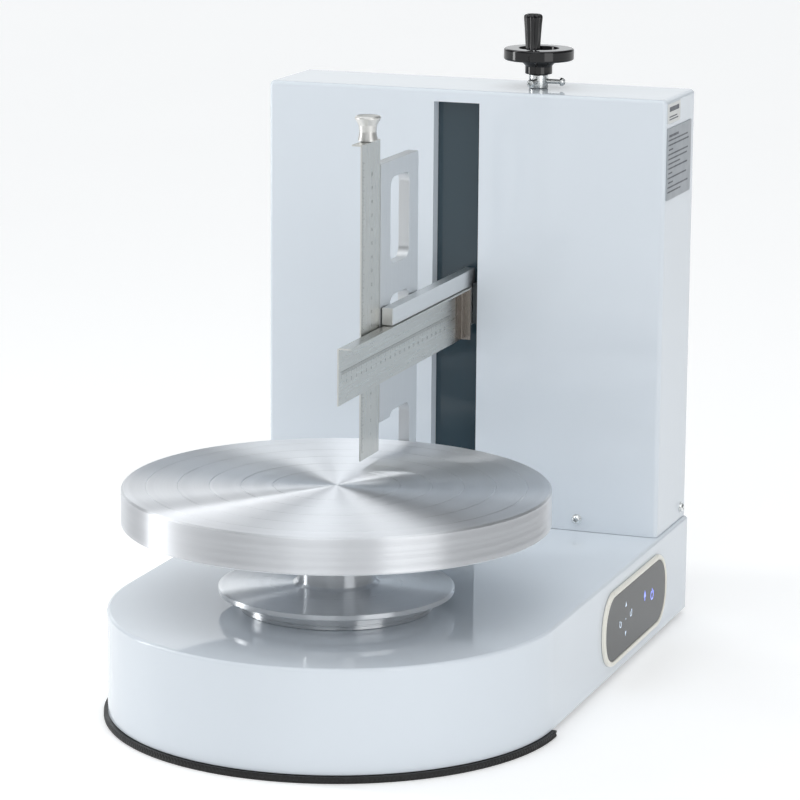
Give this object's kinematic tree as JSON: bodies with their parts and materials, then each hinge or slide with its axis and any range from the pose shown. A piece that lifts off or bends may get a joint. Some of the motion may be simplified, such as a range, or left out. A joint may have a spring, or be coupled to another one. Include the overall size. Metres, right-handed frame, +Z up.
{
  "type": "cake turntable",
  "caption": "Electric cake turntable: driven aluminium plate on a white base, with a rear tower whose handwheel raises an arm that carries a top scraper and a side scraper.",
  "frame": {"origin": "middle of the footprint, on the surface that the machine stands on", "axes": "+Z up, +Y from the rounded front back to the tower, +X to the operator's right; the turntable turns about +Z through x = 0, y = -0.093 m"},
  "size_m": [0.332, 0.518, 0.475],
  "materials": {
    "white_paint": "gloss powder coat, cool white",
    "turned_aluminium": "fine turned, anisotropic",
    "cast_aluminium": "machined and bead-blasted",
    "stainless_steel": "brushed sheet",
    "zinc_steel": "zinc plated",
    "ground_steel": "ground bar",
    "black_rubber": "matt, ribbed edge",
    "black_plastic": "polished phenolic",
    "slot_dark": "dark blue-grey, glossy",
    "cream_plastic": "satin moulded",
    "panel_glass": "dark touch panel",
    "label_film": "satin film, plain printed lines",
    "dark_steel": "black oxide",
    "bronze": "sintered bronze",
    "circuit_green": "solder mask",
    "magnet": "nickel plated"
  },
  "bodies": {
    "root": {"base_housing": "white_paint", "base_plate": "zinc_steel", "front_rubber_strip": "black_rubber", "rear_foot_left": "black_rubber", "rear_foot_right": "black_rubber", "tower_shell": "white_paint", "tower_rear_cover": "white_paint", "slot_panel": "slot_dark", "tower_floor_frame": "zinc_steel", "tower_screw_front_left": "zinc_steel", "tower_screw_front_right": "zinc_steel", "tower_screw_side_left": "zinc_steel", "tower_screw_side_right": "zinc_steel", "info_label": "label_film", "spindle_housing": "turned_aluminium", "lower_spindle_bearing": "ground_steel", "upper_spindle_bearing": "ground_steel", "drive_motor": "zinc_steel", "motor_bracket": "zinc_steel", "timing_belt": "black_rubber", "power_supply": "cast_aluminium", "control_board": "circuit_green", "control_bezel": "cream_plastic", "control_panel": "panel_glass", "power_inlet": "black_plastic", "switch_frame": "black_plastic", "lower_guide_block": "cast_aluminium", "upper_guide_block": "cast_aluminium", "lower_screw_bearing": "ground_steel", "upper_screw_bearing": "ground_steel", "guide_rod_left": "ground_steel", "guide_rod_right": "ground_steel"},
    "turntable": {"turntable_plate": "turned_aluminium", "hub_column": "turned_aluminium", "spindle_shaft": "ground_steel", "driven_pulley": "cast_aluminium"},
    "motor_rotor": {"motor_shaft": "ground_steel", "motor_pulley": "cast_aluminium"},
    "handwheel_assembly": {"handwheel": "black_plastic", "lead_screw": "ground_steel", "stop_collar": "zinc_steel", "collar_screw_right": "zinc_steel", "collar_screw_front": "zinc_steel", "handle_pin": "ground_steel"},
    "grip": {"handle_grip": "black_plastic"},
    "lift": {"carriage_block": "cast_aluminium", "guide_bush_left": "bronze", "guide_bush_right": "bronze", "lead_nut": "bronze", "arm_beam": "cast_aluminium", "arm_neck": "dark_steel", "arm_screw_lower": "zinc_steel", "arm_screw_upper": "zinc_steel"},
    "side_holder": {"holder_plate": "cast_aluminium", "holder_magnet_front": "magnet", "holder_magnet_rear": "magnet"},
    "side_scraper": {"side_scraper_blade": "stainless_steel", "scraper_knob": "turned_aluminium"},
    "top_scraper": {"top_scraper_blade": "stainless_steel"},
    "rocker": {"power_rocker": "black_plastic"}
  },
  "joints": [
    {"name": "turntable_spin", "type": "hinge", "parent": "root", "child": "turntable", "pos_m": [0, -0.093, 0.15], "axis": [0, 0, 1], "continuous": true},
    {"name": "motor_spin", "type": "hinge", "parent": "root", "child": "motor_rotor", "pos_m": [0, 0.037, 0.026], "axis": [0, 0, 1], "continuous": true},
    {"name": "handwheel_turn", "type": "hinge", "parent": "root", "child": "handwheel_assembly", "pos_m": [0.0475, 0.213, 0.43], "axis": [0, 0, 1], "range_deg": [-5410, 190]},
    {"name": "grip_spin", "type": "hinge", "parent": "handwheel_assembly", "child": "grip", "pos_m": [0.04907, 0.19306, 0.455], "axis": [0, 0, 1], "continuous": true},
    {"name": "arm_lift", "type": "slide", "parent": "root", "child": "lift", "axis": [0, 0, 1], "range_m": [-0.004, 0.12]},
    {"name": "side_holder_slide", "type": "slide", "parent": "lift", "child": "side_holder", "axis": [0, 1, 0], "range_m": [0, 0.095]},
    {"name": "side_scraper_slide", "type": "slide", "parent": "side_holder", "child": "side_scraper", "axis": [0, 0, 1], "range_m": [0, 0.1]},
    {"name": "top_scraper_slide", "type": "slide", "parent": "lift", "child": "top_scraper", "axis": [0, -1, 0], "range_m": [0, 0.03]},
    {"name": "power_rocker_tilt", "type": "hinge", "parent": "root", "child": "rocker", "pos_m": [-0.06, 0.2553, 0.042], "axis": [-1, 0, 0], "range_deg": [0, 16]}
  ],
  "couplings": [
    {"joint": "motor_spin", "follows": "turntable_spin", "ratio": 3},
    {"joint": "handwheel_turn", "follows": "arm_lift", "rad_per_m": -785.4}
  ]
}
